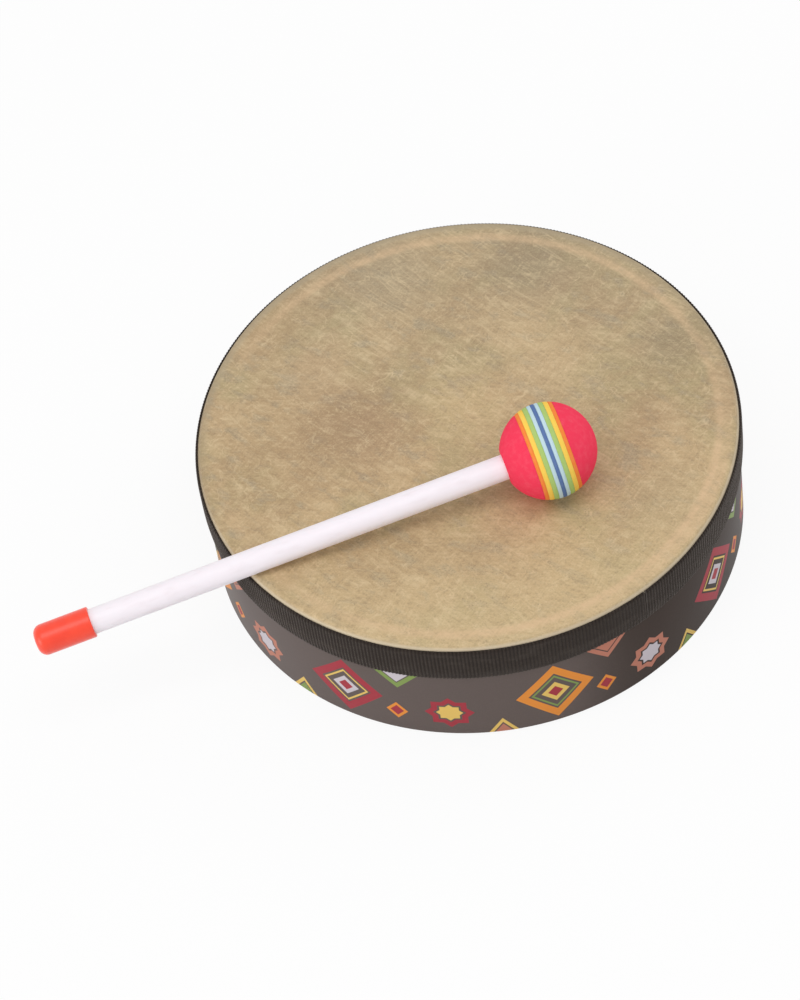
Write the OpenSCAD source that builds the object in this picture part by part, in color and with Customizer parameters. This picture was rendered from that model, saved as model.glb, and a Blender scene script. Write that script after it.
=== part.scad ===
// Small frame drum with its foam ball mallet lying across the head.
// +Z runs up the drum's axis and the drum stands on its open lower edge at z = 0.
// The mallet lies along X, with its ball on the head and its shaft on the rim.

/* [Shell] */
// Outside diameter of the wound fibre hoop
shell_d = 202.4; // [180:0.2:260]
// Wall of the hoop
shell_wall = 6; // [4:0.1:9]
// Height of the hoop from its lower edge to its bearing edge
shell_h = 55; // [46:0.5:80]
// Round on the outer bearing edge, where the head turns down
bearing_r = 3.2; // [0.6:0.1:4]
// Round on the hoop's other three edges
ease_r = 0.5; // [0.3:0.1:1.5]

/* [Printed wrap] */
// Thickness of the printed film round the hoop
wrap_t = 0.35; // [0.2:0.05:0.6]
// Bare wall between the hoop's lower round and the film
wrap_foot = 0.1; // [0.1:0.1:2]
// Bare wall between the film and the bearing round
wrap_head = 1; // [0.2:0.1:4]
// Gap at the film's butt seam
wrap_seam = 0.4; // [0.2:0.1:1]
// Angle of the film's seam, at the back of the drum
wrap_seam_at = 100; // [60:5:150]

/* [Head] */
// Thickness of the skin film
head_t = 0.3; // [0.2:0.05:0.5]
// Depth of the collar that is turned down over the film, from the playing face
collar_h = 14; // [9:0.5:15]

/* [Trim tape] */
// Width of the woven tape
tape_w = 16.8; // [16:0.1:26]
// Thickness of the tape, which is also the diameter of its round selvedges
tape_t = 0.8; // [0.4:0.05:1.2]
// Depth of the tape's upper selvedge below the playing face
tape_drop = 1.8; // [1.2:0.1:3]
// Height over which the tape steps in under the collar's cut edge
tape_step = 0.8; // [0.4:0.1:1.4]
// Gap at the tape's butt seam
tape_seam = 0.5; // [0.2:0.1:1]
// Angle of the tape's seam, at the front of the drum
tape_seam_at = -68; // [-90:1:-30]

/* [Foam ball] */
// Diameter of the ball
ball_d = 36; // [30:0.5:44]
// Diameter of the flat that is ground round the shaft
flat_d = 13; // [12:0.1:16]
// Thickness of the blue layer in the middle
blue_t = 1.4; // [1:0.1:2]
// Thickness of each pale blue layer
sky_t = 1.45; // [1:0.05:2]
// Thickness of each green layer
green_t = 1.8; // [1.2:0.05:2.4]
// Thickness of each yellow layer
yellow_t = 1.8; // [1.2:0.05:2.6]
// Thickness of each orange layer
orange_t = 1.45; // [1:0.05:2.4]
// Depth of the blind socket in the front red layer
socket_h = 4; // [2:0.5:5]

/* [Shaft and end cap] */
// Diameter of the shaft
shaft_d = 9.525; // [8:0.025:11]
// Distance from the ball's centre to the closed end of the cap
grip_reach = 199.7; // [185:0.1:240]
// Length of the cap
cap_h = 21.7; // [14:0.1:30]
// Wall of the cap
cap_wall = 1.05; // [0.8:0.05:2]
// Thickness of the cap's closed end
cap_end_t = 2.2; // [1.4:0.1:3.4]
// Round of the cap's closed end
cap_end_r = 3.4; // [2:0.1:4.4]
// Round of the cap's open lip
cap_lip_r = 0.4; // [0.1:0.1:0.7]

/* [Resting place of the mallet] */
// Ball's centre from the drum's axis, along the mallet
rest_x = 22; // [0:0.1:40]
// Ball's centre from the drum's axis, across the mallet
rest_y = -36.3; // [-50:0.1:0]
// Gap under the ball and under the shaft where they rest
seat_gap = 0.2; // [0.1:0.05:0.4]

/* [Glue] */
// Glue line between bonded faces
bond_line = 0.05; // [0.02:0.01:0.1]

/* [Hidden] */
$fn = 120;

// Radii of the layers round the drum, from the hoop outwards
shell_r = shell_d / 2;
shell_in_r = shell_r - shell_wall;
wrap_in_r = shell_r + bond_line;
wrap_r = wrap_in_r + wrap_t;
collar_in_r = wrap_r + bond_line;
collar_r = collar_in_r + head_t;
tape_low_in_r = wrap_r + bond_line;
tape_in_r = collar_r + bond_line;

// Heights up the drum
wrap_bottom = ease_r + wrap_foot;
wrap_top = shell_h - bearing_r - wrap_head;
head_bottom = shell_h + bond_line;
head_top = head_bottom + head_t;
collar_bottom = head_top - collar_h;
tape_top = head_top - tape_drop;
step_top = collar_bottom - bond_line;
step_bottom = step_top - tape_step;

// The skin turns the corner on a constant thickness
shoulder_in_r = bearing_r + bond_line;
shoulder_r = shoulder_in_r + head_t;
shoulder_z = head_top - shoulder_r;
face_r = collar_r - shoulder_r;

// The tape's upper edge curls over the shoulder, and the curl counts in its width
selvedge_r = tape_t / 2;
curl_in_r = shoulder_r + bond_line;
curl_mid_r = curl_in_r + selvedge_r;
curl_start = min(shoulder_z, tape_top - selvedge_r);
curl = asin((tape_top - selvedge_r - curl_start) / curl_mid_r);
curl_length = curl_mid_r * curl * PI / 180;
tape_bottom = curl_start - (tape_w - selvedge_r - curl_length);

// Outer faces of the foam layers, measured from the ball's centre plane
ball_r = ball_d / 2;
blue_edge = blue_t / 2;
sky_edge = blue_edge + sky_t;
green_edge = sky_edge + green_t;
yellow_edge = green_edge + yellow_t;
orange_edge = yellow_edge + orange_t;
flat_at = sqrt(ball_r * ball_r - flat_d * flat_d / 4);

// The shaft runs from the socket in the ball to the closed end of the cap
shaft_r = shaft_d / 2;
bore_r = shaft_r + bond_line;
socket_end = orange_edge + socket_h;
shaft_tip = socket_end - bond_line;
cap_floor = cap_end_t - grip_reach;
shaft_tail = cap_floor + bond_line;
cap_r = bore_r + cap_wall;

// The mallet leans from the ball, on the playing face, down to the rim
ball_lift = ball_r + seat_gap;
shaft_lift = shaft_r + seat_gap;
rim_reach = rest_x + sqrt(face_r * face_r - rest_y * rest_y);
lean = atan2(ball_lift, rim_reach) - asin(shaft_lift / norm([ball_lift, rim_reach]));

fibre = "#a5855c";
print_ground = "#5b5150";
skin = "#c3ab85";
tape_black = "#403b38";
white = "#f6f0f4";
cap_orange = "#fc5c42";
red = "#f5445c";
orange = "#f68d44";
yellow = "#fad05a";
green = "#b0c982";
sky = "#bed8e0";
blue = "#6e87b2";

// What a square corner of a section loses when it is rounded
module corner_waste(at, out, corner) {
    difference() {
        translate([at.x - (out.x > 0 ? corner : 0), at.y - (out.y > 0 ? corner : 0)]) square(corner);
        translate([at.x - out.x * corner, at.y - out.y * corner]) circle(corner);
    }
}

// Section of a round plug, with its upper outer corner rounded
module plug_section(r, bottom, top, corner) {
    difference() {
        translate([0, bottom]) square([r, top - bottom]);
        corner_waste([r, top], [1, 1], corner);
    }
}

// Revolves a section round the drum, leaving a seam of the given width open
module seamed_ring(seam, seam_r, seam_at) {
    seam_angle = 2 * asin(seam / 2 / seam_r);
    rotate(seam_at + seam_angle / 2) rotate_extrude(angle = 360 - seam_angle) children();
}

// Places what is drawn up the mallet's own axis, with the ball's centre at its origin
module on_mallet() {
    translate([rest_x, rest_y, head_top + ball_lift]) rotate([0, 90 - lean, 0]) children();
}

// One slice of the ball between two planes, bored for the shaft
module foam_slice(from, to) {
    on_mallet() rotate_extrude() intersection() {
        circle(ball_r);
        translate([bore_r, from]) square([ball_r, to - from]);
    }
}

// A layer that lies ahead of or behind the middle, glued to the layer inside it
module foam_layer(inner, outer, side) {
    foam_slice(min(side * (inner + bond_line), side * outer), max(side * (inner + bond_line), side * outer));
}

module shell_hoop() {
    color(fibre) rotate_extrude() difference() {
        translate([shell_in_r, 0]) square([shell_wall, shell_h]);
        corner_waste([shell_r, shell_h], [1, 1], bearing_r);
        corner_waste([shell_in_r, shell_h], [-1, 1], ease_r);
        corner_waste([shell_r, 0], [1, -1], ease_r);
        corner_waste([shell_in_r, 0], [-1, -1], ease_r);
    }
}

module printed_wrap() {
    color(print_ground) seamed_ring(wrap_seam, wrap_r, wrap_seam_at)
        translate([wrap_in_r, wrap_bottom]) square([wrap_t, wrap_top - wrap_bottom]);
}

module drum_head() {
    color(skin) rotate_extrude() difference() {
        plug_section(collar_r, collar_bottom, head_top, shoulder_r);
        plug_section(collar_in_r, collar_bottom - head_t, head_bottom, shoulder_in_r);
    }
}

// The stretch of tape that is bent over the shoulder, with its round selvedge
module tape_curl() {
    reach = 2 * (curl_in_r + tape_t);
    translate([face_r, curl_start]) {
        if (curl > 0) intersection() {
            difference() {
                circle(curl_in_r + tape_t);
                circle(curl_in_r);
            }
            polygon([[0, 0], [reach, 0], reach * [cos(curl), sin(curl)]]);
        }
        translate(curl_mid_r * [cos(curl), sin(curl)]) circle(selvedge_r);
    }
}

module trim_tape() {
    color(tape_black) seamed_ring(tape_seam, tape_in_r + tape_t, tape_seam_at) {
        tape_curl();
        polygon([
            [tape_in_r, curl_start],
            [tape_in_r, step_top],
            [tape_low_in_r, step_bottom],
            [tape_low_in_r, tape_bottom + selvedge_r],
            [tape_low_in_r + tape_t, tape_bottom + selvedge_r],
            [tape_low_in_r + tape_t, step_bottom],
            [tape_in_r + tape_t, step_top],
            [tape_in_r + tape_t, curl_start]
        ]);
        translate([tape_low_in_r + selvedge_r, tape_bottom + selvedge_r]) circle(selvedge_r);
    }
}

module mallet_shaft() {
    color(white) on_mallet() translate([0, 0, shaft_tail]) cylinder(r = shaft_r, h = shaft_tip - shaft_tail);
}

module end_cap() {
    color(cap_orange) on_mallet() translate([0, 0, cap_h - grip_reach]) rotate_extrude() difference() {
        mirror([0, 1]) plug_section(cap_r, 0, cap_h, cap_end_r);
        translate([0, cap_end_t - cap_h]) square([bore_r, cap_h]);
        corner_waste([cap_r, 0], [1, 1], cap_lip_r);
    }
}

module foam_red_rear() {
    color(red) foam_slice(-flat_at, -orange_edge - bond_line);
}

module foam_orange_rear() {
    color(orange) foam_layer(yellow_edge, orange_edge, -1);
}

module foam_yellow_rear() {
    color(yellow) foam_layer(green_edge, yellow_edge, -1);
}

module foam_green_rear() {
    color(green) foam_layer(sky_edge, green_edge, -1);
}

module foam_sky_rear() {
    color(sky) foam_layer(blue_edge, sky_edge, -1);
}

module foam_blue_core() {
    color(blue) foam_slice(-blue_edge, blue_edge);
}

module foam_sky_front() {
    color(sky) foam_layer(blue_edge, sky_edge, 1);
}

module foam_green_front() {
    color(green) foam_layer(sky_edge, green_edge, 1);
}

module foam_yellow_front() {
    color(yellow) foam_layer(green_edge, yellow_edge, 1);
}

module foam_orange_front() {
    color(orange) foam_layer(yellow_edge, orange_edge, 1);
}

module foam_red_front() {
    color(red) on_mallet() rotate_extrude() difference() {
        intersection() {
            circle(ball_r);
            translate([0, orange_edge + bond_line]) square(ball_r);
        }
        square([bore_r, socket_end]);
    }
}

shell_hoop();
printed_wrap();
drum_head();
trim_tape();
mallet_shaft();
end_cap();
foam_red_rear();
foam_orange_rear();
foam_yellow_rear();
foam_green_rear();
foam_sky_rear();
foam_blue_core();
foam_sky_front();
foam_green_front();
foam_yellow_front();
foam_orange_front();
foam_red_front();
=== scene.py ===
# %% [markdown]
# # A small frame drum and its ball mallet
#
# The measured model of the drum is already built and packed, with every piece at its real size.
# This lesson dresses it: each piece gets a finer mesh and a finish made only of nodes.
# Nothing may move or grow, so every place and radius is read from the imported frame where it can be.

# %% Load the frame
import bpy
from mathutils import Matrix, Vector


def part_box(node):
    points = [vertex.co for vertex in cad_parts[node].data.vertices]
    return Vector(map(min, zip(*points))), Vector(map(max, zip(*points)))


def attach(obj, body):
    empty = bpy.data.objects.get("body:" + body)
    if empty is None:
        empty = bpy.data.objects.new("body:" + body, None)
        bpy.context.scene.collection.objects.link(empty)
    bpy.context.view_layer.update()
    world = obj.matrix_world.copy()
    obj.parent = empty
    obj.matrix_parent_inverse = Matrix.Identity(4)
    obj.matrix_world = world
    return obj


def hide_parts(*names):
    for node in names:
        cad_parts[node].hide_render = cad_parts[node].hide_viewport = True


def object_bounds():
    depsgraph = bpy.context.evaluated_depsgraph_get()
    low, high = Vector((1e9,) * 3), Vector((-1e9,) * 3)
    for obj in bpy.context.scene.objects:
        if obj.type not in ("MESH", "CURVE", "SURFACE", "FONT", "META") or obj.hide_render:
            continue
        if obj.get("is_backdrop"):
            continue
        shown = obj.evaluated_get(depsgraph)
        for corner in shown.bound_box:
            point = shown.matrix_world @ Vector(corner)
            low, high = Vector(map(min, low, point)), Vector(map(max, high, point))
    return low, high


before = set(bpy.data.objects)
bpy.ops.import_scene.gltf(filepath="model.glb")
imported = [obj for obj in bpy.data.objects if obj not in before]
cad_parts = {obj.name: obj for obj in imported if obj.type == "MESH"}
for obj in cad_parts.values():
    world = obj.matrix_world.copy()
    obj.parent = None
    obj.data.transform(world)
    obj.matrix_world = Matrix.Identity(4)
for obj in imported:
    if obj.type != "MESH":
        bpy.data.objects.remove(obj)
cad_low, cad_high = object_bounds()

# %% [markdown]
# ## Sizes of the drum
#
# The drum is round about the Z axis, so the box of each of its pieces gives a radius and two heights.
# They could be typed in again, but then the two models could drift apart. Wall thicknesses can't be
# read from boxes, so each is named later, where its piece is made.

# %% Read the drum's sizes
import math

import bpy
from mathutils import Matrix, Vector, noise

MM = 0.001
glue = 0.05 * MM


def reach(node):
    """Radius of a node that is round about the drum's axis."""
    low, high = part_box(node)
    return max(high.x, high.y, -low.x, -low.y)


def heights(node):
    """Bottom and top of a node."""
    low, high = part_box(node)
    return low.z, high.z


hoop_r = reach("shell_hoop")
hoop_bottom, hoop_top = heights("shell_hoop")
wrap_r = reach("printed_wrap")
wrap_bottom, wrap_top = heights("printed_wrap")
head_r = reach("drum_head")
head_bottom, head_top = heights("drum_head")
tape_r = reach("trim_tape")
tape_bottom, tape_top = heights("trim_tape")
print("drum radius %.1f mm, height %.1f mm" % (tape_r / MM, head_top / MM))

# %% [markdown]
# ## The mallet's line
#
# The mallet lies with its ball on the head and its shaft on the rim, so it leans. The ball's centre is
# the middle of its central blue layer, and the shaft's middle lies on the same line, so those two points
# give the lean. The mallet's pieces are made upright about the ball's centre, where they are easy
# to turn, and `mallet_place` then lays them down.

# %% Read the mallet's place
def middle(node):
    low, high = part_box(node)
    return (low + high) / 2


def half_across(node):
    """Half of a node's width across the mallet, which lies along X."""
    low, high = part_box(node)
    return (high.y - low.y) / 2


ball_centre = middle("foam_blue_core")
ball_r = half_across("foam_blue_core")
mallet_axis = (ball_centre - middle("mallet_shaft")).normalized()
mallet_lean = math.atan2(mallet_axis.z, mallet_axis.x)
mallet_place = Matrix.Translation(ball_centre) @ Matrix.Rotation(math.pi / 2 - mallet_lean, 4, "Y")
print("ball radius %.2f mm, mallet leans %.2f degrees" % (ball_r / MM, math.degrees(mallet_lean)))

# %% [markdown]
# ## Camera
#
# The rim of a drum is a true circle, so its ellipse in a picture gives the camera: how flat the ellipse
# is gives the height, its turn gives the roll, and the size of the near half against the far half gives
# the distance. The values below are that fit. Blender's sensor width belongs to the longer side
# of the picture, so the focal length in pixels is scaled by that side.

# %% Camera
picture_long_side = 1000
focal_pixels = 3900
sensor_mm = 36
camera_azimuth = math.radians(-8.85)
camera_elevation = math.radians(52.10)
camera_roll = math.radians(-9.49)
camera_distance = 1.4893
camera_target = Vector((-0.0287, 0.0045, 0.0174))

camera = bpy.data.objects.new("camera", bpy.data.cameras.new("camera"))
bpy.context.scene.collection.objects.link(camera)
bpy.context.scene.camera = camera
camera.data.sensor_width = sensor_mm
camera.data.lens = focal_pixels * sensor_mm / picture_long_side

back = Vector((
    math.sin(camera_azimuth) * math.cos(camera_elevation),
    -math.cos(camera_azimuth) * math.cos(camera_elevation),
    math.sin(camera_elevation),
))
level = Vector((math.cos(camera_azimuth), math.sin(camera_azimuth), 0))
upright = back.cross(level)
right = math.cos(camera_roll) * level + math.sin(camera_roll) * upright
turned_frame = Matrix((right, back.cross(right), back)).transposed()
camera.matrix_world = Matrix.Translation(camera_target + camera_distance * back) @ turned_frame.to_4x4()
print("camera %.0f mm lens at" % camera.data.lens, [round(x, 3) for x in camera.location])

# %% [markdown]
# ## Colours
#
# The Standard view shows a colour as it is written. A shader reckons in linear light, so a colour that is
# given as three values from 0 to 255, as a paint program shows it, is first taken back to linear light.

# %% Colours
bpy.context.scene.view_settings.view_transform = "Standard"


def srgb(red, green, blue):
    """A colour given as 0 to 255 values, as linear light for a shader."""
    shares = [c / 255 for c in (red, green, blue)]
    return (*[s / 12.92 if s <= 0.04045 else ((s + 0.055) / 1.055) ** 2.4 for s in shares], 1.0)


print("middle grey in linear light: %.3f" % srgb(128, 128, 128)[0])

# %% [markdown]
# ## Sums of nodes
#
# A finish could be painted on an image, but an image has one resolution and has to be unwrapped.
# Here every finish is worked out from the point on the surface, in millimetres, so that a rib or a fibre
# can be given its real size. Long chains of Math nodes are hard to read, so `Field` lets them be
# written as plain sums: `a * 2 + b` makes the two nodes and their links.

# %% Fields
class Field:
    """A value that varies over a surface. Arithmetic on it adds nodes to its tree."""

    def __init__(self, nodes, socket):
        self.nodes = nodes
        self.socket = socket

    def math(self, operation, *others):
        return self.nodes.field("Math", dict(enumerate((self, *others))), operation=operation)

    def __add__(self, other):
        return self.math("ADD", other)

    def __sub__(self, other):
        return self.math("SUBTRACT", other)

    def __mul__(self, other):
        return self.math("MULTIPLY", other)

    def __abs__(self):
        return self.math("ABSOLUTE")

    def ramp(self, start, end):
        """0 at start and 1 at end, eased, whichever is the larger."""
        span = {"Value": self, "From Min": start, "From Max": end}
        return self.nodes.field("MapRange", span, interpolation_type="SMOOTHSTEP")

    def wave(self, pitch, kind="SINE"):
        """Swings between 0 and 1, once in each pitch."""
        return (self * (2 * math.pi / pitch)).math(kind) * 0.5 + 0.5


def distance(x, y):
    """How far two fields, taken as a place, are from zero."""
    return (x * x + y * y).math("SQRT")


print("ready: Field, distance")

# %% [markdown]
# ## Node trees
#
# A material and the world are both node trees. In Blender's editor a node is added, its sockets are
# filled in or linked, and one of its outputs goes on to the next node. `Nodes.field` does those three things
# in one call. The other helpers name the nodes that every finish below is built from.

# %% Node trees
class Nodes:
    """A node tree, with short names for the nodes used most."""

    def __init__(self, tree):
        self.tree = tree

    def plug(self, socket, value):
        """Links a field to a socket, or sets the socket to a plain value."""
        if isinstance(value, Field):
            self.tree.links.new(value.socket, socket)
        else:
            socket.default_value = value

    def field(self, kind, inputs, output=0, **settings):
        """Adds a node, fills its inputs and gives one of its outputs."""
        node = self.tree.nodes.new("ShaderNode" + kind)
        for name, value in settings.items():
            setattr(node, name, value)
        for name, value in inputs.items():
            self.plug(node.inputs[name], value)
        return Field(self, node.outputs[output])

    def axes(self, point):
        parts = self.tree.nodes.new("ShaderNodeSeparateXYZ")
        self.plug(parts.inputs[0], point)
        return [Field(self, part) for part in parts.outputs]

    def combine(self, x, y, z):
        return self.field("CombineXYZ", {0: x, 1: y, 2: z})

    def mix(self, under, over, share):
        """Mixes two colours. The node's colour sockets are inputs 6 and 7 and output 2."""
        return self.field("Mix", {0: share, 6: under, 7: over}, 2, data_type="RGBA")

    def layers(self, tone, *coats):
        """Lays coats over a tone, each a colour and the share of it that shows."""
        for colour, share in coats:
            tone = self.mix(tone, colour, share)
        return tone


print("ready: Nodes")

# %% [markdown]
# ## Finishes
#
# A real surface is never one flat colour: it has clouds, grain, pores and fine bumps. Noise textures give
# all of them without an image. Squeezing the point before it goes into a noise texture turns round
# grain into streaks, which serve as fibres and brushed lines. What stays the same over the whole
# surface is set straight on the shader's own sockets.

# %% Finishes
class Finish(Nodes):
    """One procedural material. Its constants go to the sockets of its shader."""

    def __init__(self, name, **constants):
        self.material = bpy.data.materials.new(name)
        self.material.use_nodes = True
        super().__init__(self.material.node_tree)
        self.shader = self.tree.nodes["Principled BSDF"]
        for socket, value in constants.items():
            self.plug(self.shader.inputs[socket.replace("_", " ")], value)

    def point(self):
        """The point on the surface in the piece's own frame, in millimetres."""
        here = self.field("TexCoord", {}, "Object")
        return self.field("VectorMath", {0: here, "Scale": 1 / MM}, operation="SCALE")

    def grain(self, point, size, detail=2, roughness=0.5):
        """Soft random grain of this size, from 0 to 1 about a half."""
        knobs = {"Vector": point, "Scale": 1 / size, "Detail": detail, "Roughness": roughness}
        return self.field("TexNoise", knobs)

    def streaks(self, point, slant, length, width, shift=0, detail=2, roughness=0.5):
        """Grain drawn out to this length and width, at a slant in degrees. The shift moves it along."""
        knobs = {
            "Vector": point,
            "Location": (shift, -shift, 0),
            "Rotation": (0, 0, math.radians(slant)),
            "Scale": (length, width, width),
        }
        return self.grain(self.field("Mapping", knobs, vector_type="TEXTURE"), 1, detail, roughness)

    def cells(self, point, size):
        """Distance to the nearest of many scattered points, as in foam or leather."""
        return self.field("TexVoronoi", {"Vector": point, "Scale": 1 / size}, "Distance")

    def colour(self, value):
        self.plug(self.shader.inputs["Base Color"], value)

    def roughness(self, value):
        self.plug(self.shader.inputs["Roughness"], value)

    def relief(self, height, depth):
        """Bumps of this depth in metres where height goes from 0 to 1."""
        self.plug(self.shader.inputs["Normal"], self.field("Bump", {"Height": height, "Distance": depth}))


print("ready: Finish")

# %% [markdown]
# ## White room
#
# A product picture like this is taken in a white room. The world gives an even base light, which wraps
# round the drum. What the camera sees of the world, directly or in gloss or glass, is white of strength 1,
# so the background is white without more light on the drum. The Light Path node tells those rays apart.

# %% White room
world_strength = 0.56
white = (1, 1, 1, 1)


def seen_directly(nodes):
    """1 for rays from the camera and for those that carry what gloss and glass show."""
    camera_ray = nodes.field("LightPath", {}, "Is Camera Ray")
    glossy_ray = nodes.field("LightPath", {}, "Is Glossy Ray")
    glass_ray = nodes.field("LightPath", {}, "Is Transmission Ray")
    return camera_ray.math("MAXIMUM", glossy_ray).math("MAXIMUM", glass_ray)


world = bpy.data.worlds.new("studio")
bpy.context.scene.world = world
world.use_nodes = True
room = Nodes(world.node_tree)
background = room.tree.nodes["Background"]
background.inputs["Color"].default_value = white
background.inputs["Strength"].default_value = world_strength
base_light = Field(room, background.outputs[0])
white_wall = room.field("Background", {"Color": white})
shown = room.field("MixShader", {0: seen_directly(room), 1: base_light, 2: white_wall})
room.plug(room.tree.nodes["World Output"].inputs[0], shown)
print("world of strength", world_strength)

# %% [markdown]
# ## Table
#
# The drum stands on a white table, which throws light back up its wall. The table is plain matte paint,
# but paint alone would look grey. Most of what is seen of it directly is a glow of strength 1 instead, so
# that it reads as white, and the rest is the paint, which still takes the drum's shadow.

# %% Table
table_paint = 0.9
table_glow = 0.9
floor_size = 6.0
floor_gap = 0.1 * MM

table = Finish("white_table", Roughness=1.0, Specular_IOR_Level=0.0)
table.colour((table_paint, table_paint, table_paint, 1))
glow = table.field("Emission", {"Color": white})
paint = Field(table, table.shader.outputs[0])
shown = table.field("MixShader", {0: seen_directly(table) * table_glow, 1: paint, 2: glow})
table.plug(table.tree.nodes["Material Output"].inputs[0], shown)

bpy.ops.mesh.primitive_plane_add(size=floor_size, location=(0, 0, hoop_bottom - floor_gap))
floor = bpy.context.object
floor.name = "floor"
floor.data.materials.append(table.material)
floor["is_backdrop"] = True
print("table %.0f m wide, %.1f mm under the hoop" % (floor_size, floor_gap / MM))

# %% [markdown]
# ## Lamps
#
# Large soft boxes give soft shadows and broad shines. A long lamp hangs overhead, in line with the mallet,
# so that the shaft's shadow is crisp and the ball's is soft. A second one stands low at the left, so that
# the wall and the tape show their roundness, and a weak one at the right keeps that side of the ball bright.

# %% Lamps
def soft_box(name, place, width, depth, watts, aim=None):
    """A flat lamp that shines straight down, or at a point."""
    lamp = bpy.data.lights.new(name, "AREA")
    lamp.shape = "RECTANGLE"
    lamp.size = width
    lamp.size_y = depth
    lamp.energy = watts
    made = bpy.data.objects.new(name, lamp)
    bpy.context.scene.collection.objects.link(made)
    made.location = place
    if aim is not None:
        made.rotation_euler = (aim - made.location).to_track_quat("-Z", "Y").to_euler()
    return made


drum_top = Vector((0, 0, head_top))
lamps = [
    soft_box("top_box", place=(-0.25, -0.3, 1.5), width=1.7, depth=0.6, watts=9.3),
    soft_box("left_box", place=(-1.6, -0.6, 0.4), width=0.9, depth=0.9, watts=7.6, aim=drum_top),
    soft_box("right_box", place=(1.2, 0.5, 0.7), width=0.9, depth=0.9, watts=3.6, aim=drum_top),
]
print("lamps:", [(lamp.name, lamp.data.energy) for lamp in lamps])

# %% [markdown]
# ## Turning a section
#
# Almost every piece here is turned, rolled or wrapped, so one helper revolves a closed outline of
# (radius, height) points. It can stop short of a full turn, as a wrapped film or tape does at its seam.
# Blender's Screw modifier could do all that, but the helper can also move each point as it goes round:
# a `shape` function does so, and presses the ribs into the tape.

# %% Turning helpers
on_axis = 1e-9
sharp_over = math.radians(35)


def arc(radius, height, round_r, start, end, steps=6):
    """Points of a round in a section, from one angle to another, in degrees from the outward radius."""
    turns = [math.radians(start + (end - start) * i / steps) for i in range(steps + 1)]
    return [(radius + round_r * math.cos(t), height + round_r * math.sin(t)) for t in turns]


def revolve(section, columns, start, sweep, shape):
    """Points and faces of a section turned about Z. Points on the axis become one vertex."""
    closed = sweep >= 360
    count = columns if closed else columns + 1
    rows = len(section)
    points, faces, ids = [], [], {}
    for i, (radius, height) in enumerate(section):
        for j in range(count):
            if radius < on_axis and j:
                ids[i, j] = ids[i, 0]
                continue
            angle = math.radians(start + sweep * j / columns)
            r, z = shape(radius, height, angle) if shape else (radius, height)
            ids[i, j] = len(points)
            points.append((r * math.cos(angle), r * math.sin(angle), z))
    for i in range(rows):
        after = (i + 1) % rows
        for j in range(columns):
            beside = (j + 1) % count
            corners = [ids[i, j], ids[i, beside], ids[after, beside], ids[after, j]]
            face = list(dict.fromkeys(corners))
            if len(face) > 2:
                faces.append(face)
    if not closed:
        faces.append([ids[i, 0] for i in range(rows)])
        faces.append([ids[i, columns] for i in reversed(range(rows))])
    return points, faces


print("a quarter round in three points:", [(round(x, 2), round(y, 2)) for x, y in arc(0, 0, 1, 0, 90, 2)])

# %% [markdown]
# ## Making and dressing a piece
#
# A turned piece is smooth except at its cut edges, so faces are shaded smooth and only steep edges are
# kept sharp. Each piece then gets its finish, the measured solids that it stands for are hidden, and it is
# hung from the body that carries it when the mallet is lifted.

# %% Making and dressing helpers
def turn(name, section, columns, start=0.0, sweep=360.0, shape=None, place=None):
    """Makes an object from a closed section, turned about Z and then put in its place."""
    points, faces = revolve(section, columns, start, sweep, shape)
    mesh = bpy.data.meshes.new(name)
    mesh.from_pydata(points, [], faces)
    mesh.validate()
    mesh.shade_smooth()
    mesh.set_sharp_from_angle(angle=sharp_over)
    made = bpy.data.objects.new(name, mesh)
    bpy.context.scene.collection.objects.link(made)
    if place is not None:
        made.matrix_world = place
    return made


def dress(piece, finish, body, slot, *nodes):
    """Gives a piece its finish, and says which CAD nodes it stands for and which body carries it."""
    piece.data.materials.append(finish.material)
    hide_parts(*nodes)
    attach(piece, body)
    print("%s: %d faces for %s" % (piece.name, len(piece.data.polygons), ", ".join(nodes)))
    return piece


print("ready: turn, dress")

# %% [markdown]
# ## Fibre board
#
# The hoop is wound from sheets of fibre board. It only shows from below: the inside wall is a brown felted
# sheet, and the lower edge shows the plies as fine rings. The felt is two layers of streaks that cross.
# They are laid on the wall as if it were unrolled, so that no streak is squeezed where the wall turns.

# %% Fibre board
hoop_wall = 6.0 * MM
hoop_in_r = hoop_r - hoop_wall
edge_round = 0.5 * MM
ply_mm = 0.75


def fibre_board():
    finish = Finish("fibre_board", Roughness=0.8, Specular_IOR_Level=0.3)
    here = finish.point()
    x, y, z = finish.axes(here)
    radius = distance(x, y)
    unrolled = finish.combine(y.math("ARCTAN2", x) * (hoop_in_r / MM), z, radius)
    felt = finish.streaks(unrolled, slant=12, length=5.0, width=0.5, detail=4)
    cross = finish.streaks(unrolled, slant=-38, length=4.0, width=0.4, shift=7, detail=3)
    blotch = finish.grain(here, size=22, detail=3)
    lower_edge = z.ramp(edge_round / MM, 0.0)
    finish.colour(finish.layers(
        finish.mix(srgb(134, 104, 70), srgb(168, 136, 96), felt.ramp(0.3, 0.7)),
        (srgb(112, 84, 54), cross.ramp(0.58, 0.75) * 0.6),
        (srgb(150, 122, 90), blotch.ramp(0.45, 0.7) * 0.5),
        (srgb(96, 72, 48), radius.wave(ply_mm).ramp(0.55, 0.95) * lower_edge * 0.7),
    ))
    finish.relief(felt * 0.7 + cross * 0.3, 0.12 * MM)
    return finish


board = fibre_board()
print("fibre board: %d nodes" % len(board.tree.nodes))

# %% [markdown]
# ## Hoop
#
# The hoop is the stiff ring that everything is glued to. Its section is a rectangle with eased corners
# and one larger round, on the bearing edge that the head turns over. A bevel modifier could ease
# the corners, but arcs in the section put points only where the rounds are.

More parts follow.
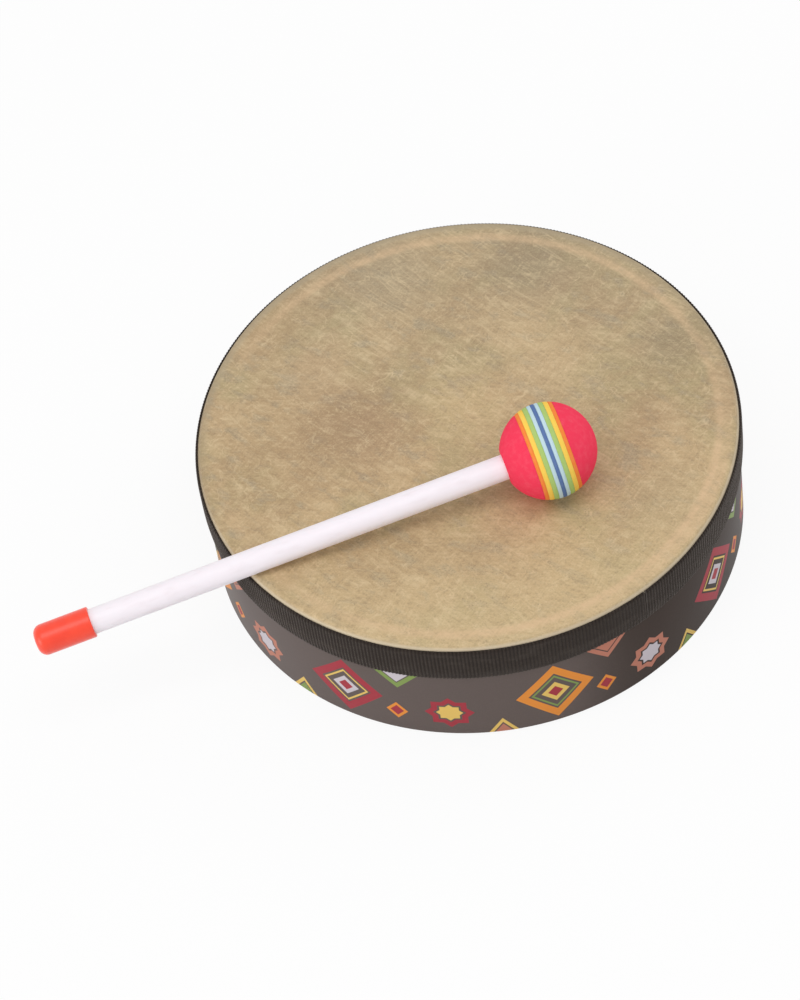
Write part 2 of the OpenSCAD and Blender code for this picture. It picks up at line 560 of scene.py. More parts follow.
# %% Hoop
bearing_round = 3.2 * MM
hoop_section = [
    *arc(hoop_r - edge_round, hoop_bottom + edge_round, edge_round, -90, 0),
    *arc(hoop_r - bearing_round, hoop_top - bearing_round, bearing_round, 0, 90, 12),
    *arc(hoop_in_r + edge_round, hoop_top - edge_round, edge_round, 90, 180),
    *arc(hoop_in_r + edge_round, hoop_bottom + edge_round, edge_round, 180, 270),
]
hoop = turn("hoop", hoop_section, 256)
dress(hoop, board, "drum", "hoop_fibre", "shell_hoop")

# %% [markdown]
# ## Ground of the print
#
# The wall is covered with a thin printed film. Its brown ground has fine flecks, which keep a plain colour
# from looking like plastic. On two opposite sides the ground is darkened, fading between them, as painted
# shade.
# The film is satin, with a faint peel in its surface that breaks up the shine.

# %% Ground of the print
painted_shade_side = math.radians(-48.0)
wall_mm = wrap_r / MM

film = Finish("printed_film", Specular_IOR_Level=0.03)
film_point = film.point()
wall_x, wall_y, wall_z = film.axes(film_point)
speckle = film.grain(film_point, size=0.5)
# painted shade: the ground and its flecks are darkened towards two opposite sides of the wall
towards_painted_shade = abs(wall_x * math.cos(painted_shade_side) + wall_y * math.sin(painted_shade_side))
painted_shade = towards_painted_shade.ramp(0.76 * wall_mm, 0.96 * wall_mm)
ground = film.mix(srgb(102, 91, 87), srgb(63, 51, 45), painted_shade)
fleck = film.mix(srgb(110, 98, 94), srgb(74, 62, 56), painted_shade)
print_tone = film.mix(ground, fleck, speckle.ramp(0.4, 0.8) * 0.5)
film.roughness(speckle * 0.10 + 0.35)
film.relief(film.grain(film_point, size=1.6), 0.02 * MM)
print("ground of the print: %d nodes" % len(film.tree.nodes))

# %% [markdown]
# ## Figures of the print
#
# The print could be an image, but straight-sided figures are easy to state as distances: a point is inside
# a lozenge when its distance to the edge is below zero, and rings inside it are only deeper insets of
# the same distance. The edges then stay sharp however near the camera comes.

# %% Figures of the print
ink_edge = 0.07


def lozenge(u, v, half_width, half_height):
    """Distance outside a lozenge, in millimetres, negative within."""
    side = math.hypot(half_width, half_height)
    return abs(u) * (half_height / side) + abs(v) * (half_width / side) - half_width * half_height / side


def star(u, v, inner):
    """Distance outside an eight-pointed star: a square laid over a square on its corner."""
    square = abs(u).math("MAXIMUM", abs(v)) - inner
    corner = (abs(u) + abs(v)) * math.sqrt(0.5) - inner
    return square.math("MINIMUM", corner)


def spike(u, v, half_width, height):
    """Distance outside a triangle with its tip at the origin, which widens along v."""
    side = math.hypot(half_width, height)
    flank = abs(u) * (height / side) - v * (half_width / side)
    return flank.math("MAXIMUM", v - height)


def paint_rings(under, figure, *rings):
    """Lays inks one inside the other, each starting at its inset from the figure's edge."""
    coats = [(colour, figure.ramp(ink_edge - inset, -ink_edge - inset)) for inset, colour in rings]
    return film.layers(under, *coats)


print("figures: lozenge, star, spike, with edges %.2f mm soft" % (2 * ink_edge))

# %% [markdown]
# ## Inks and copies
#
# The figures stand in a plain frieze that repeats round the wall, and their inks change on every other
# copy. Each copy could be drawn by itself, but the Math node's Wrap mode folds the whole wall onto one
# repeat, so each figure is drawn once. Folding onto two repeats tells every other copy from those between.

# %% Inks and copies
frieze_repeats = 8
repeat_mm = 2 * math.pi * wall_mm / frieze_repeats
around = wall_y.math("ARCTAN2", wall_x) * wall_mm
ink = {
    "orange": srgb(232, 147, 66),
    "crimson": srgb(168, 62, 72),
    "salmon": srgb(192, 126, 106),
    "green": srgb(134, 156, 88),
    "yellow": srgb(232, 196, 108),
    "lilac": srgb(206, 198, 204),
}


def along(at):
    """Distance along the wall from the nearest copy of a place in the frieze."""
    return (around - at * repeat_mm).math("WRAP", repeat_mm / 2, -repeat_mm / 2)


def swapped(at, first, second):
    """One ink on every other copy of a place, and the second on those between."""
    from_first = abs((around - at * repeat_mm).math("WRAP", repeat_mm, -repeat_mm))
    return film.mix(ink[first], ink[second], from_first.ramp(0.49 * repeat_mm, 0.51 * repeat_mm))


print("%d inks, and %d repeats of %.1f mm" % (len(ink), frieze_repeats, repeat_mm))

# %% [markdown]
# ## Frieze
#
# Each repeat has a large lozenge, a star, a spike that hangs from the tape, a small lozenge under it and a
# spike that stands on the foot. A figure's place is a share of the repeat, and its height is in
# millimetres over the foot. It is painted from its edge inwards, and bare rings show the ground again.

# %% Frieze
lozenge_at, lozenge_height = 0.0, 19.0
star_at, star_height = 0.5, 14.0
hanging_at, hanging_height = 0.27, 27.0
small_at, small_height = 0.25, 12.0
standing_at, standing_height = 0.74, 9.0
print_tone = paint_rings(
    print_tone, lozenge(along(lozenge_at), wall_z - lozenge_height, half_width=15.0, half_height=16.0),
    (0.0, swapped(lozenge_at, "orange", "crimson")), (3.4, ground),
    (4.2, swapped(lozenge_at, "green", "yellow")), (5.0, ground),
    (7.0, swapped(lozenge_at, "yellow", "lilac")), (8.8, ink["crimson"]),
)
print_tone = paint_rings(
    print_tone, star(along(star_at), wall_z - star_height, inner=6.6),
    (0.0, swapped(star_at, "salmon", "crimson")), (2.2, ground), (3.0, swapped(star_at, "lilac", "yellow")),
)
print_tone = paint_rings(
    print_tone, spike(along(hanging_at), wall_z - hanging_height, half_width=11.0, height=12.0),
    (0.0, swapped(hanging_at, "salmon", "green")), (2.0, ground),
    (2.5, swapped(hanging_at, "salmon", "lilac")),
)
print_tone = paint_rings(
    print_tone, lozenge(along(small_at), wall_z - small_height, half_width=4.2, half_height=5.0),
    (0.0, ink["orange"]), (1.2, ink["crimson"]),
)
print_tone = paint_rings(
    print_tone, spike(along(standing_at), wall_z * -1 + standing_height, half_width=8.0, height=12.0),
    (0.0, ink["yellow"]), (1.4, ground), (2.0, swapped(standing_at, "green", "salmon")),
)
film.colour(print_tone)
print("printed film: %d nodes" % len(film.tree.nodes))

# %% [markdown]
# ## Wrap
#
# The film is bonded round the hoop like a label, and its ends butt together at the back. A full ring would
# hide that, so the wrap is turned a little short of a full round and leaves a slim seam. Its lower cut edge
# has a tiny round, which catches the light as a real cut edge does.

# %% Wrap
wrap_film = 0.35 * MM
wrap_in_r = wrap_r - wrap_film
wrap_seam = math.degrees(0.4 * MM / wrap_r)
wrap_seam_at = 100.0
cut_round = 0.1 * MM
wrap_section = [
    (wrap_in_r, wrap_bottom),
    *arc(wrap_r - cut_round, wrap_bottom + cut_round, cut_round, -90, 0, 3),
    (wrap_r, wrap_top),
    (wrap_in_r, wrap_top),
]
wrap = turn("wrap", wrap_section, 360, wrap_seam_at + wrap_seam / 2, 360 - wrap_seam)
dress(wrap, film, "drum", "wrap_film", "printed_wrap")

# %% [markdown]
# ## Shape of the head
#
# The head is a stiff film, drawn over the hoop and turned down outside it as a collar. It stands up a hair
# where it bends over the hoop's inner edge. At the rim it rolls over a tight corner, runs down a short
# bevel under the tape and follows the bearing edge. All of this is one section of arcs and lines.

# %% Shape of the head
head_film = 0.3 * MM
shoulder_in_round = bearing_round + glue
shoulder_round = shoulder_in_round + head_film
face_r = head_r - shoulder_round
corner_round = 1.2 * MM
bevel = math.radians(26)
rings_across = 40
ring_swell = 0.05 * MM
swell_width = 1.2 * MM


def swell(radius):
    """How far the film stands up where it bends over the hoop's inner edge."""
    return ring_swell * math.exp(-(((radius - hoop_in_r) / swell_width) ** 2))


shoulder_z = head_top - shoulder_round
face_z = head_top - ring_swell
corner_z = face_z - corner_round
bevel_left = shoulder_round - corner_round - (corner_z - shoulder_z) * math.sin(bevel)
corner_r = face_r + bevel_left / math.cos(bevel)
bevel_degrees = math.degrees(bevel)
top_points = [corner_r * i / rings_across for i in range(rings_across)]
head_section = [
    *[(r, face_z + swell(r)) for r in top_points],
    *arc(corner_r, corner_z, corner_round, 90, bevel_degrees, 10),
    *arc(face_r, shoulder_z, shoulder_round, bevel_degrees, 0, 6),
    (head_r, head_bottom),
    (head_r - head_film, head_bottom),
    *arc(face_r, shoulder_z, shoulder_in_round, 0, 90, 12),
    (0, head_top - head_film - ring_swell),
]
print("head's section: %d points, corner at radius %.2f mm" % (len(head_section), corner_r / MM))

# %% [markdown]
# ## Skin: clouds
#
# The film is printed to look like a skin. Its widest marks are tan and olive clouds, stains and small
# patches. The front is made paler as painted light, and the back right greyer as painted shade. Plain noise
# has no direction, so patches and fibres are stretched. `bend` pushes the point to and fro before they use
# it, so that they curl.

# %% Skin: clouds
tan = srgb(191, 164, 125)
olive = srgb(177, 158, 118)
umber = srgb(176, 148, 112)
ash = srgb(166, 151, 125)
straw = srgb(221, 199, 160)

skin = Finish("skin_film", Specular_IOR_Level=0.3)
head_point = skin.point()
x, y, z = skin.axes(head_point)
bend = skin.grain(head_point, size=16) * 7.0
curled = skin.combine(x + bend, y - bend, z)
clouds = skin.grain(head_point, size=38)
stain = skin.streaks(head_point, slant=30, length=34, width=22, shift=3, detail=3)
patch = skin.streaks(curled, slant=-50, length=11, width=6, shift=5, detail=4, roughness=0.6)
blush = skin.streaks(curled, slant=-10, length=8, width=5, shift=71, detail=3)
skin_tone = skin.layers(
    skin.mix(olive, tan, clouds.ramp(0.4, 0.56)),
    (umber, stain.ramp(0.45, 0.65) * 0.85),
    (ash, patch.ramp(0.5, 0.3) * 0.8),
    (straw, patch.ramp(0.5, 0.74) * 0.52),
    (umber, blush.ramp(0.5, 0.7) * 0.4),
    # painted light: the front of the head is made paler
    (srgb(205, 182, 138), y.ramp(0, -100) * 0.55),
    # painted shade: the back right of the head is made greyer
    (ash, (x * 0.4 + y).ramp(-30, 110) * 0.4),
)
print("clouds: %d nodes" % len(skin.tree.nodes))

# %% [markdown]
# ## Skin: smudges
#
# A skin is also darker and lighter in broad areas, which no even noise gives. Painting them on an image
# would do, but a few soft round spots are enough. Each is given by its place on the head, its width, its
# colour and its strength, and the bend makes its edge uneven.

# %% Skin: smudges
smudges = [
    (-36, 10, 74, srgb(162, 132, 102), 0.72),
    (50, 66, 60, srgb(146, 130, 108), 0.58),
    (-66, 14, 70, umber, 0.4),
    (-4, 78, 60, ash, 0.65),
    (88, 8, 44, srgb(146, 130, 104), 0.65),
    (8, 4, 60, srgb(216, 184, 140), 0.4),
    (42, 16, 64, srgb(214, 187, 145), 0.45),
    (-44, 42, 44, srgb(208, 181, 144), 0.3),
    (-58, 74, 60, umber, 0.65),
    (60, -60, 56, srgb(168, 152, 118), 0.4),
]
for at_x, at_y, across, colour, strength in smudges:
    spread = distance(x + bend - at_x, y - bend - at_y).ramp(across / 2, 0)
    skin_tone = skin.mix(skin_tone, colour, spread * strength)
print("%d smudges: %d nodes" % (len(smudges), len(skin.tree.nodes)))

# %% [markdown]
# ## Skin: felt and pores
#
# Nearer by, a skin is felted: short fibres lie every way, with pores between them. Three layers of
# streaks at different slants, averaged, look felted where one alone would look brushed. Low values
# become dark and high ones pale, so that the middle tone stays as it is.

# %% Skin: felt and pores
bark = srgb(136, 114, 87)
felt_layers = [(-60, 9, 1.1, 0), (-20, 8, 1.0, 40), (35, 7, 1.0, 80)]
felts = [skin.streaks(curled, *layer, detail=3, roughness=0.6) for layer in felt_layers]
felt = (felts[0] + felts[1] + felts[2]) * (1 / len(felts))
fine = skin.grain(head_point, size=0.7)
pores = skin.cells(head_point, size=1.3).ramp(0.3, 0.1) * patch.ramp(0.52, 0.4)
skin_tone = skin.layers(
    skin_tone,
    (bark, felt.ramp(0.5, 0.38) * 0.3),
    (straw, felt.ramp(0.5, 0.62) * 0.33),
    (srgb(112, 92, 70), pores * 0.3),
    (bark, fine.ramp(0.5, 0.72) * 0.2),
    (straw, fine.ramp(0.5, 0.28) * 0.2),
)
print("felt of %d layers: %d nodes" % (len(felts), len(skin.tree.nodes)))

# %% [markdown]
# ## Skin: single fibres
#
# Some fibres can be seen one by one. A fibre is a thin line, and the line where a stretched grain crosses
# its middle value is just that, so each layer of fibres is one stretched grain at its own slant. A second
# grain hides most of each line and leaves short strands. Long scratches at the back come the same way.

# %% Skin: single fibres
strands = [
    (-60, 26, 3.0, 0, straw, 0.26),
    (-22, 22, 2.6, 31, straw, 0.24),
    (70, 20, 2.4, 57, straw, 0.2),
    (20, 10, 7.0, 23, straw, 0.36),
    (-80, 9, 7.0, 91, straw, 0.36),
    (50, 14, 1.6, 11, bark, 0.2),
    (-72, 16, 1.6, 47, bark, 0.2),
]
skin_relief = felt
for slant, length, width, shift, colour, strength in strands:
    strand = skin.streaks(curled, slant, length, width, shift)
    gaps = skin.streaks(head_point, slant, length=12, width=5, shift=shift, detail=1)
    line = abs(strand - 0.5).ramp(0.02, 0.0) * gaps.ramp(0.5, 0.66)
    skin_tone = skin.mix(skin_tone, colour, line * strength)
    skin_relief = skin_relief + line * 0.2
scratch = skin.streaks(head_point, slant=-58, length=30, width=3.2, shift=19, detail=1)
scratch = abs(scratch - 0.5).ramp(0.04, 0.0) * stain.ramp(0.55, 0.4) * y.ramp(-10, 40)
skin_tone = skin.mix(skin_tone, straw, scratch * 0.3)
print("%d layers of strands: %d nodes" % (len(strands), len(skin.tree.nodes)))

# %% [markdown]
# ## Skin: ring and rim
#
# Where the film leaves the hoop's inner edge it shows a warm, broken ring, which lies a little towards
# the front, is widest at the front right and faint at the left. Outside it the film is made greyer at the
# back, and the last millimetres there darker, as painted shade. At the front they are paler, where they meet
# the tape.

# %% Skin: ring and rim
ring_shift = 1.2
hoop_mm = hoop_in_r / MM
rim_mm = head_r / MM
radius = distance(x, y)
ring_r = distance(x, y + ring_shift)
wide = ring_r.ramp(hoop_mm + 5.2, hoop_mm + 2.8) * x.ramp(-20, 60) * y.ramp(30, -30) * 0.7
ring = ring_r.ramp(hoop_mm - 3.6, hoop_mm - 1.0)
ring = ring * ring_r.ramp(hoop_mm + 2.8, hoop_mm - 0.5).math("MAXIMUM", wide)
broken = felt.ramp(0.35, 0.65) * 0.3 + patch.ramp(0.3, 0.6) * 0.2 + 0.3
ring_strength = x.ramp(-95, -20) * 0.7 - x.ramp(80, 97) * 0.35 - y.ramp(0, 60) * 0.15 + 0.2
# painted shade: outside the ring the film is made greyer towards the back
outside = radius.ramp(hoop_mm + 1.5, hoop_mm + 4.0) * y.ramp(0, 90)
# painted shade: the last millimetres of the film are made darker at the back
painted_rim_shade = radius.ramp(hoop_mm + 2.6, hoop_mm + 6.1) * y.ramp(-25, 10)
near_edge = radius.ramp(rim_mm - 1.2, rim_mm - 0.4) * y.ramp(40, -40)
skin.colour(skin.layers(
    skin_tone,
    (srgb(218, 186, 148), ring * broken * ring_strength),
    (srgb(176, 161, 134), outside * 0.6),
    (srgb(140, 126, 102), painted_rim_shade * 0.35),
    (srgb(220, 204, 176), near_edge * 0.9),
))
skin.roughness(felt * 0.2 + 0.45)
skin.relief(skin_relief, 0.04 * MM)
head = turn("head", head_section, 256)
dress(head, skin, "drum", "head_film", "drum_head")

# %% [markdown]
# ## Shape of the tape
#
# The tape is a ribbed ribbon that hides the head's collar. Its upper edge curls over the head's shoulder,
# and from the collar's cut edge it is drawn in to the wrap. A ribbon could be a sheet with a Solidify
# modifier, but its rounded selvedges show at the rim, so the section is drawn with its real thickness.

# %% Shape of the tape
tape_thick = 0.8 * MM
tape_step_in = 0.35 * MM
collar_edge = head_bottom - glue
selvedge_r = tape_thick / 2
inner_r = tape_r - tape_thick
lower_r = tape_r - tape_step_in
curl_mid_r = shoulder_round + glue + selvedge_r
curl = math.asin((tape_top - selvedge_r - shoulder_z) / curl_mid_r)
curl_degrees = math.degrees(curl)
foot = tape_bottom + selvedge_r
tape_section = [
    (inner_r, collar_edge),
    *arc(lower_r - selvedge_r, foot, selvedge_r, -180, 0, 6),
    *[(lower_r + tape_step_in * i / 3, foot + (collar_edge - foot) * i / 3) for i in (1, 2, 3)],
    *[(tape_r, collar_edge + (shoulder_z - collar_edge) * i / 3) for i in (1, 2)],
    *arc(face_r, shoulder_z, curl_mid_r + selvedge_r, 0, curl_degrees, 4)[:-1],
    *arc(
        face_r + curl_mid_r * math.cos(curl), shoulder_z + curl_mid_r * math.sin(curl),
        selvedge_r, curl_degrees, curl_degrees + 180, 8,
    ),
    *arc(face_r, shoulder_z, curl_mid_r - selvedge_r, curl_degrees, 0, 4)[1:],
]
tape_width = selvedge_r + curl * curl_mid_r + shoulder_z - tape_bottom
print("tape is %.1f mm wide when flat and curls over by %.0f degrees" % (tape_width / MM, curl_degrees))

# %% [markdown]
# ## Ribs of the tape
#
# Fine warp threads run along the tape over a thick weft, which makes the ribs. At this size the ribs are
# too large for a bump, and they show on the edges as small teeth, so they are pressed into the mesh: the
# grooves sink the outer face and nick both selvedges. The tape's ends butt together at the front.

# %% Ribs of the tape
tape_seam = 0.5 * MM
tape_seam_at = -68.0
rib_pitch = 1.37 * MM
rib_depth = 0.18 * MM
tooth = 0.14 * MM
groove_sharpness = 0.7
seam_degrees = math.degrees(tape_seam / tape_r)
tape_turn = 360 - seam_degrees
tape_start = tape_seam_at + seam_degrees / 2
tape_length = math.radians(tape_turn) * tape_r
rib_count = round(tape_length / rib_pitch)


def middle_of_tape(height):
    """Radius of the middle of the tape's thickness at a height."""
    drawn_in = min(1.0, max(0.0, (collar_edge - height) / (collar_edge - foot)))
    risen = max(0.0, height - shoulder_z)
    return face_r + math.sqrt(curl_mid_r**2 - risen**2) - drawn_in * tape_step_in


def pressed_ribs(radius, height, angle):
    """Sinks the grooves between ribs on the outer face and nicks the selvedges there."""
    ribs_on = (math.degrees(angle) - tape_start) / tape_turn * rib_count
    groove = (0.5 - 0.5 * math.cos(2 * math.pi * ribs_on)) ** groove_sharpness
    outward = min(1.0, max(0.0, 0.5 + (radius - middle_of_tape(height)) / tape_thick))
    nick = max(0.0, 1 - (tape_top - height) / MM) - max(0.0, 1 - (height - tape_bottom) / MM)
    return radius - rib_depth * groove * outward, height - tooth * groove * nick


print("tape is %.0f mm long, with %d ribs" % (tape_length / MM, rib_count))

# %% [markdown]
# ## Weave of the tape
#
# The black ribbon is really a dark brown with lint and worn stretches, and it has a soft sheen where it
# turns away. Its grooves are painted darker than its rib crests, as painted shade. The finish counts ribs
# from the seam, as the mesh does, so that the pale crests lie on the pressed ribs. The cut ends are sealed
# with heat, which leaves them a little paler.

# %% Weave of the tape
thread_mm = 0.4
seal_starts, seal_full = 0.009, 0.003


def ribbed_weave():
    finish = Finish(
        "ribbed_weave", Roughness=0.75, Specular_IOR_Level=0.12,
        Sheen_Weight=0.3, Sheen_Roughness=0.3, Sheen_Tint=srgb(255, 243, 234),
    )
    here = finish.point()
    x, y, z = finish.axes(here)
    cos_seam = math.cos(math.radians(tape_seam_at))
    sin_seam = math.sin(math.radians(tape_seam_at))
    from_seam = (y * -cos_seam + x * sin_seam).math("ARCTAN2", x * -cos_seam - y * sin_seam) + math.pi
    ribs_on = (from_seam * tape_r - tape_seam / 2) * (1 / rib_pitch)
    crest = ribs_on.wave(1, "COSINE")
    warp = z.wave(thread_mm)
    lint = finish.grain(here, size=0.8, detail=3)
    wear = finish.grain(finish.combine(ribs_on * 0.09, z * 0.2, 0), size=1)
    sealed = abs(from_seam - math.pi).ramp(math.pi - seal_starts, math.pi - seal_full)
    finish.colour(finish.layers(
        # painted shade: the tone is darker in the grooves between the rib crests
        finish.mix(srgb(38, 30, 26), srgb(51, 43, 37), crest.ramp(0.1, 0.8)),
        (srgb(74, 66, 60), lint.ramp(0.45, 0.75) * crest * 0.5),
        (srgb(40, 36, 33), warp.ramp(0.5, 1.0) * 0.3),
        (srgb(78, 70, 64), wear.ramp(0.5, 0.75) * 0.3),
        (srgb(90, 83, 78), sealed * 0.5),
    ))
    finish.relief(warp * 0.7 + lint * 0.3, 0.06 * MM)
    return finish


weave = ribbed_weave()
print("weave: %d nodes" % len(weave.tree.nodes))

# %% [markdown]
# ## Tape
#
# Section, ribs and weave come together here. Six columns for each rib are enough to round it.

# %% Tape
columns_per_rib = 6
tape = turn("tape", tape_section, rib_count * columns_per_rib, tape_start, tape_turn, pressed_ribs)
dress(tape, weave, "drum", "tape_weave", "trim_tape")

# %% [markdown]
# ## Drawn plastic
#
# The shaft is a drawn white plastic rod, satin and very slightly warm, with faint lines along its length
# from the die. Grain squeezed across the rod and drawn out along it gives the lines. A little light goes
# into such plastic and comes out again, so it gets some subsurface scattering.

# %% Drawn plastic
def drawn_plastic():
    finish = Finish(
        "drawn_plastic", Specular_IOR_Level=0.3,
        Subsurface_Weight=0.3, Subsurface_Radius=(1.0, 0.9, 0.9), Subsurface_Scale=1.5 * MM,
    )
    x, y, z = finish.axes(finish.point())
    lines = finish.grain(finish.combine(x * 4, y * 4, z * 0.03), size=1, detail=3)
    scuff = finish.grain(finish.combine(x, y, z * 0.25), size=2.5, detail=3)
    finish.colour(finish.mix(srgb(248, 240, 246), srgb(241, 232, 237), scuff.ramp(0.5, 0.75) * 0.8))
    finish.roughness(scuff * 0.25 + 0.28)
    finish.relief(lines, 0.02 * MM)
    return finish


plastic = drawn_plastic()
print("drawn plastic: %d nodes" % len(plastic.tree.nodes))

# %% [markdown]
# ## Shaft
#
# The rod is a plain turned section with a small bevel at both ends, which sit inside the ball and the cap.
# Its ends are found from its box. The rod leans, so the box reaches a little past the axis at each end,
# and `along_mallet` takes that off. Points along the straight part keep its faces short.

# %% Shaft
shaft_r = half_across("mallet_shaft")
end_bevel = 0.3 * MM
shaft_steps = 24


def along_mallet(x, side):
    """Distance from the ball's centre of the rod's end whose box reaches to x."""
    return (x - ball_centre.x - side * shaft_r * math.sin(mallet_lean)) / math.cos(mallet_lean)


shaft_low, shaft_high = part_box("mallet_shaft")
shaft_tip = along_mallet(shaft_high.x, 1)
shaft_tail = along_mallet(shaft_low.x, -1)
straight = shaft_tip - shaft_tail - 2 * end_bevel
shaft_section = [
    (0, shaft_tail),
    (shaft_r - end_bevel, shaft_tail),
    *[(shaft_r, shaft_tail + end_bevel + straight * i / shaft_steps) for i in range(shaft_steps + 1)],
    (shaft_r - end_bevel, shaft_tip),
    (0, shaft_tip),
]
shaft = turn("shaft", shaft_section, 96, place=mallet_place)
dress(shaft, plastic, "mallet", "shaft_plastic", "mallet_shaft")
print("shaft from %.2f to %.2f mm" % (shaft_tail / MM, shaft_tip / MM))

# %% [markdown]
# ## Dipped vinyl
#
# The cap is soft vinyl, made by dipping a former. Such vinyl has a glossy skin over a cloudy body, so its
# shine comes from a clear coat over a duller base. A low roughness alone would shine too, but would look
# like hard plastic.

# %% Dipped vinyl
def dipped_vinyl():
    finish = Finish("dipped_vinyl", Specular_IOR_Level=0.2, Coat_Weight=0.9, Coat_Roughness=0.36)
    here = finish.point()
    cloud = finish.grain(here, size=6, detail=3)
    fine = finish.grain(here, size=0.7)
    finish.colour(finish.mix(srgb(250, 66, 34), srgb(245, 60, 30), cloud.ramp(0.4, 0.7)))
    finish.roughness(fine * 0.15 + 0.36)
    finish.relief(cloud * 0.7 + fine * 0.3, 0.06 * MM)
    return finish


vinyl = dipped_vinyl()
print("dipped vinyl: %d nodes" % len(vinyl.tree.nodes))

# %% [markdown]
# ## End cap
#
# The cap is pulled off its former and pushed over the rod, so it is hollow, with a rounded closed end and a
# thin lip. Its floor seats on the shaft's end with a glue line between them, and that is what places it
# along the mallet.

# %% End cap
cap_length = 21.7 * MM
cap_floor = 2.2 * MM
cap_end_round = 3.4 * MM
cap_lip = 0.4 * MM
cap_steps = 8
cap_r = half_across("end_cap")
cap_bore = shaft_r + glue
grip_reach = cap_floor + glue - shaft_tail
cap_lip_at = cap_length - grip_reach
cap_side = cap_length - cap_lip - cap_end_round
cap_section = [
    (0, cap_floor - grip_reach),
    (cap_bore, cap_floor - grip_reach),
    (cap_bore, cap_lip_at),
    *arc(cap_r - cap_lip, cap_lip_at - cap_lip, cap_lip, 90, 0),
    *[(cap_r, cap_lip_at - cap_lip - cap_side * i / cap_steps) for i in range(1, cap_steps)],
    *arc(cap_r - cap_end_round, cap_end_round - grip_reach, cap_end_round, 0, -90, 14),
    (0, -grip_reach),
]
cap = turn("cap", cap_section, 96, place=mallet_place)
dress(cap, vinyl, "mallet", "cap_vinyl", "end_cap")
print("the cap's end is %.2f mm from the ball's centre" % (grip_reach / MM))

# %% [markdown]
# ## Ground foam
#
# The ball is closed-cell foam, ground to shape. Grinding opens the cells, which gives a dry surface with no
# shine: a Voronoi texture sinks the open cells and darkens them as painted shade, and soft noise dusts
# the rest a shade paler. One function serves every colour of the stripes.

# %% Ground foam
cell_shade = 0.84
dust_lift = 0.03


def ground_foam(name, tone):
    finish = Finish("foam_" + name, Roughness=0.9, Specular_IOR_Level=0.04)
    here = finish.point()
    open_cells = finish.cells(here, size=0.55)
    dust = finish.grain(here, size=2.2, detail=3)
    # painted shade: the open cells are darkened
    deep = (*[c * cell_shade for c in tone[:3]], 1.0)
    pale = (*[c + (1 - c) * dust_lift for c in tone[:3]], 1.0)
    finish.colour(finish.layers(
        tone,
        (pale, dust.ramp(0.4, 0.8)),
        (deep, open_cells.ramp(0.4, 0.05) * 0.35),
    ))
    finish.relief(open_cells, 0.05 * MM)
    return finish


blue_foam = ground_foam("blue", srgb(96, 122, 172))
red_foam = ground_foam("red", srgb(247, 66, 94))
print("foam: %d nodes for each colour" % len(red_foam.tree.nodes))

# %% [markdown]
# ## Slices of a ball
#
# Sheets of foam are glued into a block and the block is ground into a ball, so the stripes are flat slices
# of one sphere. One striped sphere would be simpler, but each slice is a piece of its own here, with eased
# edges, so that the glue lines show as fine grooves. Every slice is bored for the shaft, and the last one
# has a blind socket.

# %% Slices of a ball
socket_depth = 4.0 * MM
layer_edge = 0.12 * MM
arc_step = 0.3 * MM
foam_bore = shaft_r + glue


def slice_section(low, high):
    """Section of the ball between two planes, with eased edges and a bore."""
    low_r = math.sqrt(ball_r**2 - low**2)
    start = math.asin(low / ball_r)
    end = math.asin(min(1.0, high / ball_r))
    steps = max(4, round(ball_r * (end - start) / arc_step))
    curve = [start + (end - start) * i / steps for i in range(steps + 1)]
    outer = [(ball_r * math.cos(a), ball_r * math.sin(a)) for a in curve]
    outer[0] = (low_r - layer_edge, low)
    if high < ball_r:
        outer[-1] = (outer[-1][0] - layer_edge, high)
        return [(foam_bore, high), (foam_bore, low), *outer]
    floor_z = low + socket_depth
    return [(0, floor_z), (foam_bore, floor_z), (foam_bore, low), *outer[:-1], (0, ball_r)]


print("bore %.2f mm, socket %.1f mm deep" % (2 * foam_bore / MM, socket_depth / MM))

# %% [markdown]
# ## Pebbled skin
#
# Grinding also leaves the ball a little uneven, which shows on its outline, so that part is in the mesh: two
# sizes of noise move the skin inwards by a few hundredths of a millimetre. A Displace modifier by itself
# would move the bore and the flat faces too. Here only what lies near the sphere moves.

# %% Pebbled skin
pebble_depth = 0.03 * MM
pebble_size = 1.3 * MM
fine_pebble = 0.4 * pebble_size
fine_share = 0.5
skin_from = 0.985 * ball_r


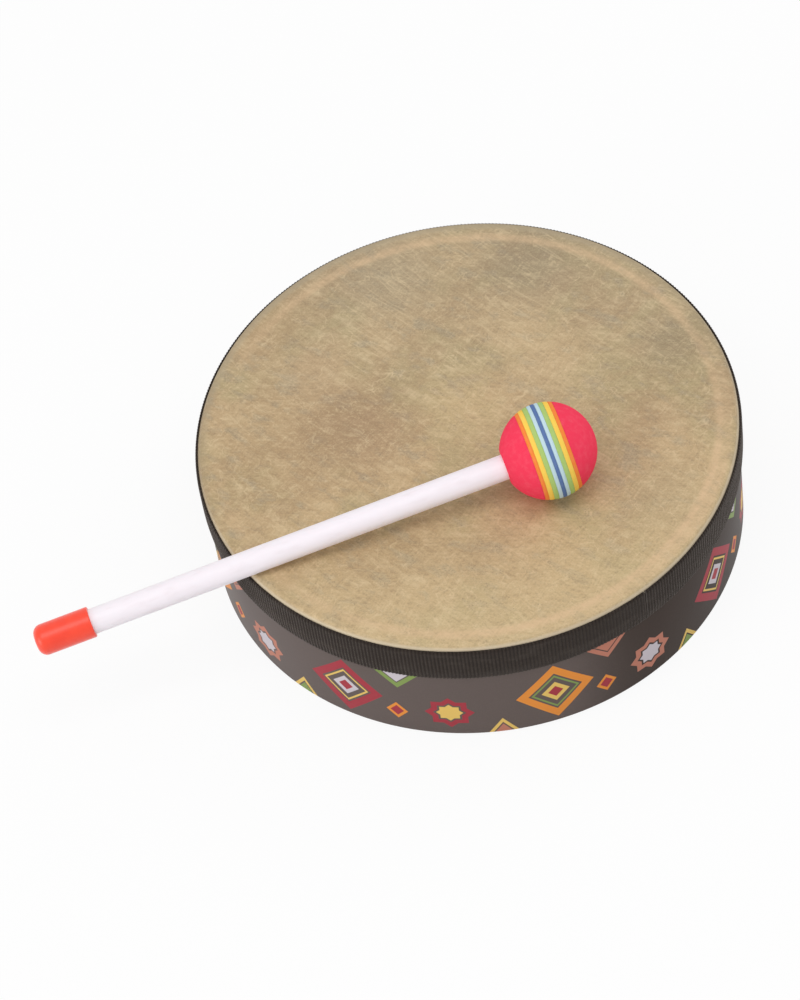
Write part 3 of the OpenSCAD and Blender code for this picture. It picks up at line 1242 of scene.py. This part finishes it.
def pebble(piece):
    """Moves the outer skin in a little, unevenly, as grinding leaves it."""
    for vertex in piece.data.vertices:
        depth = vertex.co.length
        if depth > skin_from:
            wave = noise.noise(vertex.co / pebble_size) + fine_share * noise.noise(vertex.co / fine_pebble)
            vertex.co *= 1 + pebble_depth * (wave - 1.0) / depth


print("the skin starts at radius %.2f mm" % (skin_from / MM))

# %% [markdown]
# ## Foam ball
#
# The stripes are the same on both sides of the blue one, so a loop makes them in pairs, outwards from the
# middle, with a glue line between them. The red slices close the ball, and the rear one ends in a flat
# round the shaft.

# %% Foam ball
flat_across = 13.0 * MM
blue_half = 0.7 * MM
stripes = [
    ("sky", 1.45 * MM, srgb(196, 221, 230)),
    ("green", 1.8 * MM, srgb(174, 202, 118)),
    ("yellow", 1.8 * MM, srgb(252, 210, 92)),
    ("orange", 1.45 * MM, srgb(248, 140, 66)),
]


def foam_slice(node, low, high, finish, slot):
    piece = turn(node + "_slice", slice_section(low, high), 200, place=mallet_place)
    pebble(piece)
    dress(piece, finish, "mallet", slot, node)


foam_slice("foam_blue_core", -blue_half, blue_half, blue_foam, "foam_blue")
edge_at = blue_half
for name, thick, tone in stripes:
    finish = ground_foam(name, tone)
    foam_slice("foam_%s_front" % name, edge_at + glue, edge_at + thick, finish, "foam_" + name)
    foam_slice("foam_%s_rear" % name, -edge_at - thick, -edge_at - glue, finish, "foam_" + name)
    edge_at += thick
flat_at = math.sqrt(ball_r**2 - (flat_across / 2) ** 2)
foam_slice("foam_red_front", edge_at + glue, ball_r, red_foam, "foam_red")
foam_slice("foam_red_rear", -flat_at, -edge_at - glue, red_foam, "foam_red")
print("stripes reach %.2f mm from the middle" % (edge_at / MM))

# %% [markdown]
# ## Growth of the box
#
# The dressed model is meant to fill the same box as the measured one, so the growth of each side of the box
# is printed.

new_low, new_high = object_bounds()
growth = [round((new - old) / MM, 2) for new, old in zip((*new_low, *new_high), (*cad_low, *cad_high))]
print("grown by", growth, "mm")
